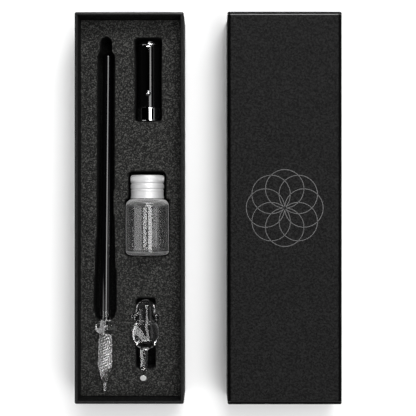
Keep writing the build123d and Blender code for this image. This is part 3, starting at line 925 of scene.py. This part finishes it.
# Nib cap
def nib_cap_barrel():
    """Black tube with a closed end, turned down under the lip band."""
    seat_radius = LIP_BAND_RADIUS - LIP_BAND_WALL
    corners = [
        (CAP_BORE_DEPTH, CAP_BORE_RADIUS, CAP_BORE_FILLET),
        (LIP_BAND_LIP, CAP_BORE_RADIUS, 0),
        (LIP_BAND_LIP, seat_radius, 0),
        (LIP_BAND_LENGTH, seat_radius, 0),
        (LIP_BAND_LENGTH, CAP_RADIUS, CAP_EDGE / 4),
        (CAP_LENGTH, CAP_RADIUS, CAP_EDGE),
    ]
    outline = bent((CAP_BORE_DEPTH, 0), corners, (CAP_LENGTH, 0))
    barrel = add_piece("barrel", placed(lathed(outline), CAP_PLACE), LACQUER)
    return seat(barrel, "nib_cap", "black_lacquer", "nib_cap_barrel")


def nib_cap_lip_band():
    """Chrome band with rolled edges, turned in over the mouth."""
    seat_radius = LIP_BAND_RADIUS - LIP_BAND_WALL
    start = (LIP_BAND_LIP / 2, CAP_BORE_RADIUS)
    corners = [
        (0, CAP_BORE_RADIUS, LIP_BAND_MOUTH_EDGE),
        (0, LIP_BAND_RADIUS, LIP_BAND_EDGE),
        (LIP_BAND_LENGTH, LIP_BAND_RADIUS, LIP_BAND_EDGE),
        (LIP_BAND_LENGTH, seat_radius, LIP_BAND_REAR_EDGE),
        (LIP_BAND_LIP, seat_radius, 0),
        (LIP_BAND_LIP, CAP_BORE_RADIUS, 0),
    ]
    outline = bent(start, corners, start)[:-1]
    band = add_piece("lip_band", placed(lathed(outline, closed=True), CAP_PLACE), CHROME)
    return seat(band, "nib_cap", "chrome", "nib_cap_lip_band")


def nib_cap_ring():
    """Thin chrome ring with the lug that the clip is riveted to."""
    start = CAP_LENGTH
    end = CAP_LENGTH + CLIP_RING_WIDTH
    points = [(start, 0), (start, CLIP_RING_RADIUS), (end, CLIP_RING_RADIUS), (end, 0)]
    ring = lathed(rounded(points, CLIP_RING_EDGE))
    height = CLIP_LOW + CLIP_RISE - CAP_RADIUS
    lug = rounded_bar(CLIP_RING_WIDTH, CLIP_WIDTH, height + 2 * LUG_SINK, LUG_EDGE)
    lug_middle = (start + CLIP_RING_WIDTH / 2, 0, CAP_RADIUS + height / 2 - LUG_SINK)
    lug.transform(Matrix.Translation(lug_middle))
    ring = add_piece("clip_ring", placed(joined(ring, lug), CAP_PLACE), CHROME)
    return seat(ring, "nib_cap", "chrome", "nib_cap_ring")


def nib_cap_finial():
    """Black end piece with a low dome."""
    start = CAP_LENGTH + CLIP_RING_WIDTH
    end = start + FINIAL_LENGTH
    side = end - FINIAL_RISE
    dome_radius = (FINIAL_RISE ** 2 + FINIAL_RADIUS ** 2) / (2 * FINIAL_RISE)
    centre = end - dome_radius
    edge = asin(FINIAL_RADIUS / dome_radius)
    angles = [edge * step / 12 for step in range(11, 0, -1)]
    dome = [(centre + dome_radius * cos(a), dome_radius * sin(a)) for a in angles]
    points = [(start, 0), (start, FINIAL_RADIUS), (side, FINIAL_RADIUS), dome[0]]
    outline = rounded(points, [FINIAL_EDGE, FINIAL_SHOULDER]) + dome[1:] + [(end, 0)]
    finial = add_piece("finial", placed(lathed(outline), CAP_PLACE), LACQUER)
    return seat(finial, "nib_cap", "black_lacquer", "nib_cap_finial")


def swept_strip(middle, width, thickness, crown):
    """A flat strip along a line of (along, up), its upper face crowned across."""
    half = width / 2
    across = [1 - step / 4 for step in range(9)]
    section = [(-half, -1.0), (half, -1.0)] + [(half * a, 1 - crown * a ** 2) for a in across]
    shape = bmesh.new()
    rows = []
    for index, spot in enumerate(middle):
        ahead = middle[min(index + 1, len(middle) - 1)] - middle[max(index - 1, 0)]
        lift = Vector((-ahead.y, ahead.x)).normalized() * (thickness / 2)
        row = [(spot.x + lift.x * up, side, spot.y + lift.y * up) for side, up in section]
        rows.append([shape.verts.new(corner) for corner in row])
    for first, second in zip(rows, rows[1:]):
        for step in range(len(first)):
            after = (step + 1) % len(first)
            shape.faces.new((first[step], first[after], second[after], second[step]))
    shape.faces.new(rows[0])
    shape.faces.new(rows[-1])
    bmesh.ops.recalc_face_normals(shape, faces=shape.faces)
    return as_mesh(shape, "strip")


def nib_cap_clip():
    """Chrome strip that leaves its foot in a curve and ends in a ball."""
    root = CAP_LENGTH - CLIP_SETBACK
    half = CLIP_THICKNESS / 2
    knee_height = CLIP_LOW + CLIP_RISE + half
    ball_along = CAP_LENGTH - CLIP_LENGTH
    ball_height = CLIP_LOW + CLIP_BALL_RADIUS
    points = [
        (root - half, CLIP_LOW + CLIP_FOOT_LIFT),
        (root - half, knee_height - half),
        (root - CLIP_KNEE_AT, knee_height),
        (ball_along, ball_height + half),
    ]
    middle = supported(rounded(points, [CLIP_HEEL_RADIUS, CLIP_KNEE_RADIUS], 8))
    strip = swept_strip(middle, CLIP_WIDTH, CLIP_THICKNESS, CLIP_CROWN)
    ball = knob_mesh(CLIP_BALL_RADIUS, 24, 40)
    ball.transform(Matrix.Translation((ball_along, 0, ball_height)))
    clip = add_piece("clip", placed(joined(strip, ball), CAP_PLACE), CHROME)
    return seat(clip, "clip", "chrome", "nib_cap_clip")


# Vial
def vial_glass():
    """Clear tube with a thick heel, a round shoulder and a plain lip, inside and out in one skin."""
    mouth = VIAL_BODY_LENGTH + VIAL_NECK_LENGTH
    inside = VIAL_RADIUS - VIAL_WALL
    bore = VIAL_NECK_RADIUS - VIAL_NECK_WALL
    under_shoulder = VIAL_BODY_LENGTH - VIAL_SHOULDER_WALL
    corners = [
        (0.0, VIAL_DIMPLE_RADIUS, VIAL_DIMPLE_BEND),
        (0.0, VIAL_RADIUS, VIAL_HEEL_BEND),
        (VIAL_BODY_LENGTH, VIAL_RADIUS, VIAL_SHOULDER_BEND),
        (VIAL_BODY_LENGTH, VIAL_NECK_RADIUS, VIAL_NECK_ROOT_BEND),
        (mouth, VIAL_NECK_RADIUS, VIAL_LIP_BEND),
        (mouth, bore, VIAL_LIP_BEND),
        (under_shoulder, bore, VIAL_NECK_ROOT_BEND),
        (under_shoulder, inside, VIAL_SHOULDER_INNER_BEND),
        (VIAL_BASE, inside, VIAL_HEEL_INNER_BEND),
    ]
    outline = bent((VIAL_BASE_DIMPLE, 0), corners, (VIAL_BASE + VIAL_BASE_CROWN, 0), 10)
    vial = add_piece("vial", placed(lathed(outline, 128), VIAL_PLACE), VIAL_GLASS)
    return seat(vial, "vial", "clear_glass", "vial_glass")


def screw_thread():
    """A thread moulded round the vial's neck, faded out at both ends."""
    start = VIAL_BODY_LENGTH + THREAD_ABOVE_SHOULDER
    steps = 140
    fade_steps = 12
    route = []
    for step in range(steps + 1):
        angle = 2 * pi * THREAD_TURNS * step / steps
        along = start + THREAD_PITCH * THREAD_TURNS * step / steps
        share = max(min(min(step, steps - step) / fade_steps, 1.0), 0.05)
        route.append((along, VIAL_NECK_RADIUS * cos(angle), VIAL_NECK_RADIUS * sin(angle), share))
    mesh = tube("thread", route, THREAD_RIDGE, 2)
    thread = add_piece("vial_thread", placed(mesh, VIAL_PLACE), VIAL_GLASS)
    return seat(thread, "vial", "clear_glass")


def screw_cap_shell():
    """Rolled aluminium cap: a curled foot, a plain skirt, two grooves and an upper band."""
    foot = SCREW_CAP_FOOT
    top = SCREW_CAP_TOP
    radius = SCREW_CAP_RADIUS
    depth = SCREW_CAP_GROOVE
    width = SCREW_CAP_GROOVE_WIDTH
    inner = radius - depth - SCREW_CAP_WALL
    hem = (foot + SCREW_CAP_HEM, inner)
    skirt_first, skirt_last = SCREW_CAP_SKIRT
    tight, mild, soft = SCREW_CAP_BENDS
    corners = [
        (foot, inner, tight),
        (foot, radius, mild),
        (foot + SCREW_CAP_CURL, radius, tight),
        (foot + skirt_first, radius - depth / 2, tight),
        (foot + skirt_last, radius - depth / 2, mild),
    ]
    for groove in SCREW_CAP_GROOVES_AT:
        start = foot + groove
        corners.append((start, radius, mild))
        corners.append((start + width / 2, radius - depth, soft))
        corners.append((start + width, radius, mild))
    corners.append((top, radius, SCREW_CAP_SHOULDER_BEND))
    corners.append((top, inner - SCREW_CAP_DISH_INSET, soft))
    outside = bent(hem, corners, (top - SCREW_CAP_DISH, 0), 6)
    under = [(top - SCREW_CAP_WALL, 0), (top - SCREW_CAP_WALL, inner), hem]
    outline = outside + rounded(under, [mild], 4)[:-1]
    return placed(lathed(outline, 144, closed=True), VIAL_PLACE)


def rib_tree(sizes):
    """Geometry: fine ribs set side by side round an axis."""
    tree, size = geometry_tree("knurled ribs", sizes)
    points = points_round(tree, size["Ribs"], size["Ring radius"])
    outwards = {"Vector": tree.node("GeometryNodeInputPosition")}
    turn = tree.node("FunctionNodeAlignRotationToVector", {"axis": "X"}, outwards)
    ball = {"Segments": 8, "Rings": 5, "Radius": 1.0}
    rib = tree.node("GeometryNodeMeshUVSphere", None, ball, "Mesh")
    half_sizes = {"X": size["Rib height"], "Y": size["Rib width"], "Z": size["Rib length"]}
    stretch = tree.node("ShaderNodeCombineXYZ", None, half_sizes)
    rib = tree.node("GeometryNodeTransform", None, {"Geometry": rib, "Scale": stretch})
    ribs = {"Points": points, "Instance": rib, "Rotation": turn}
    return close_tree(tree, tree.node("GeometryNodeInstanceOnPoints", None, ribs), ALUMINIUM)


def screw_cap():
    """The screw cap and the knurling round its upper band."""
    sizes = {
        "Ring radius": SCREW_CAP_RADIUS,
        "Rib length": RIB_HALF_LENGTH,
        "Rib width": RIB_HALF_WIDTH,
        "Rib height": RIB_HEIGHT,
        "Ribs": RIBS,
    }
    ribs = grown("ribs", rib_tree(sizes), sizes)
    ribs.transform(Matrix.Rotation(pi / 2, 4, "Y"))
    ribs.transform(Matrix.Translation((SCREW_CAP_TOP - RIBS_BELOW_TOP, 0, 0)))
    cap = add_piece("screw_cap", joined(screw_cap_shell(), placed(ribs, VIAL_PLACE)), ALUMINIUM)
    return seat(cap, "screw_cap", "aluminium", "vial_screw_cap")


# Pen rest
def rest_profile():
    """Outline of the rest's round body: domed head, chest, crease and egg-shaped belly."""
    head = arc((REST_HEAD_RADIUS, 0), REST_HEAD_RADIUS, 180, 90, 16)
    chest = (REST_CREASE_AT - REST_CREASE_CUT, REST_CHEST_RADIUS)
    crease = (REST_CREASE_AT, REST_CHEST_RADIUS - REST_CREASE_CUT)
    run = REST_BELLY_AT - REST_CREASE_AT
    rise = REST_BELLY_RADIUS - REST_CREASE_RADIUS
    bow = (run ** 2 + rise ** 2) / (2 * rise)
    lean = degrees(asin(run / bow))
    front = arc((REST_BELLY_AT, REST_BELLY_RADIUS - bow), bow, 90 + lean, 90, 14)
    angles = [pi / 2 * step / 24 for step in range(1, 25)]
    rear = [(REST_BELLY_AT + REST_BELLY_REAR * sin(a), REST_BELLY_RADIUS * cos(a)) for a in angles]
    return head + [chest, crease] + front + rear


def tail_route():
    """The tail's middle line as (along, up): out of the belly, then bent up at its foot."""
    root = REST_BELLY_AT + REST_BELLY_REAR - TAIL_ROOT_IN_BELLY
    angles = [TAIL_ANGLE * step / 12 for step in range(13)]
    bend = [(TAIL_BEND_AT + TAIL_BEND_RADIUS * sin(a), TAIL_BEND_RADIUS * (1 - cos(a))) for a in angles]
    along, up = bend[-1]
    end = (along + TAIL_END_LENGTH * cos(TAIL_ANGLE), up + TAIL_END_LENGTH * sin(TAIL_ANGLE))
    return [(root, 0.0)] + bend + [end]


def grind_tail(rest, end):
    """Give the ground finish to the faces at the tail's end."""
    upward = (REST_PLACE.to_3x3() @ Vector((cos(TAIL_ANGLE), 0, sin(TAIL_ANGLE)))).normalized()
    for polygon in rest.data.polygons:
        offset = Vector(polygon.center) - end
        at_end = offset.dot(upward) > -TAIL_GROUND_DEPTH and offset.length < 2 * TAIL_RADIUS
        if at_end and polygon.normal.dot(upward) > 0.6:
            polygon.material_index = 1


def pen_rest():
    """Clear rest, its parts melted into one and its tail's end ground."""
    route = tail_route()
    shares = [TAIL_ROOT_RADIUS] + [TAIL_RADIUS] * (len(route) - 1)
    route = [(along, -TAIL_SHIFT, up, share) for (along, up), share in zip(route, shares)]
    lumps = [lathed(rest_profile()), tube("tail", route, 1.0, 8)]
    for side in (-1, 1):
        knob = knob_mesh(REST_KNOB_RADIUS, 20, 32)
        knob.transform(Matrix.Translation((REST_KNOB_AT, side * REST_KNOB_OFFSET, 0)))
        lumps.append(knob)
    mesh = softened("rest", joined(*lumps), REST_VOXEL, passes=5)
    rest = add_piece("rest", placed(mesh, REST_PLACE), CLEAR_GLASS, GROUND_GLASS)
    grind_tail(rest, REST_PLACE @ Vector(route[-1][:3]))
    return seat(rest, "rest", "clear_glass", "pen_rest")


# Foil
def rosette_tree(sizes):
    """Geometry: one petal loop repeated round a centre, pressed flat as thin foil."""
    tree, size = geometry_tree("foil rosette", sizes)
    half = size["Reach"] * 0.5
    centres = points_round(tree, size["Petals"], half)
    circle = {"Resolution": 72, "Radius": half}
    loop = tree.node("GeometryNodeCurvePrimitiveCircle", None, circle, "Curve")
    section = {"Width": size["Line"], "Height": size["Thickness"]}
    strip = tree.node("GeometryNodeCurvePrimitiveQuadrilateral", None, section)
    petal = tree.node("GeometryNodeCurveToMesh", None, {"Curve": loop, "Profile Curve": strip})
    petals = tree.node("GeometryNodeInstanceOnPoints", None, {"Points": centres, "Instance": petal})
    return close_tree(tree, petals, FOIL)


def lid_rosette():
    """Plain foil rosette in the middle of the lid."""
    low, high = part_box("lid_wrap")
    sizes = {
        "Reach": FOIL_RADIUS,
        "Line": FOIL_LINE,
        "Thickness": FOIL_THICKNESS,
        "Petals": FOIL_PETALS,
    }
    mesh = welded(grown("rosette", rosette_tree(sizes), sizes), GLASS_WELD, outward=True)
    mesh.transform(Matrix.Translation(((low[0] + high[0]) / 2, (low[1] + high[1]) / 2, high[2])))
    rosette = add_piece("foil_rosette", mesh, FOIL)
    return seat(rosette, "lid", "chrome")


# Table, light and camera
def table():
    """The pale ground that everything stands on."""
    shape = bmesh.new()
    bmesh.ops.create_grid(shape, x_segments=1, y_segments=1, size=TABLE_HALF)
    add_piece("table", as_mesh(shape, "table"), table_top())


def softbox(name, place, size, radiance, turn=0.0):
    """A plain rectangular softbox above the box: leant about its long side, then turned about Z."""
    light = bpy.data.lights.new(name, "AREA")
    light.shape = "RECTANGLE"
    light.size, light.size_y = size
    light.energy = radiance * pi * size[0] * size[1]
    lamp = in_scene(name, light)
    lamp.location = place
    lamp.rotation_euler = (0.0, atan(place[0] / place[2]), radians(turn))


def studio():
    """A dim white surround that gloss doesn't mirror, a long key light and three softboxes that fill."""
    world = bpy.data.worlds.new("studio")
    world.use_nodes = True
    surround = world.node_tree.nodes["Background"]
    surround.inputs["Color"].default_value = grey(1.0)
    surround.inputs["Strength"].default_value = SURROUND_STRENGTH
    bpy.context.scene.world = world
    world.cycles_visibility.glossy = False
    softbox("key", place=(0.305, 0.05, 1.0), size=(0.34, 1.60), radiance=4.8, turn=24.0)
    softbox("right", place=(1.30, 0.0, 0.75), size=(0.6, 1.6), radiance=0.6)
    softbox("back", place=(0.30, 0.90, 0.9), size=(0.8, 0.50), radiance=9.0)
    softbox("left", place=(-1.00, -0.44, 0.85), size=(1.1, 0.97), radiance=1.4)
    bpy.context.scene.view_settings.view_transform = "Standard"


def camera():
    """Straight down on the box, as in the photograph."""
    view = bpy.data.cameras.new("camera")
    view.sensor_width = SENSOR_WIDTH_MM
    view.lens = FOCAL_LENGTH_PX / FRAME_WIDTH_PX * SENSOR_WIDTH_MM
    holder = in_scene("camera", view)
    holder.location = (CAMERA_X, 0.0, CAMERA_HEIGHT)
    bpy.context.scene.camera = holder


dress_box()
foam_layer("foam_insert", "foam_top_layer", FOAM)
foam_layer("foam_pad", "foam_bottom_layer", FOAM_PAD)
pen_rod()
pen_clear_end()
nib_cap_barrel()
nib_cap_lip_band()
nib_cap_ring()
nib_cap_finial()
nib_cap_clip()
vial_glass()
screw_thread()
screw_cap()
pen_rest()
lid_rosette()
table()
studio()
camera()
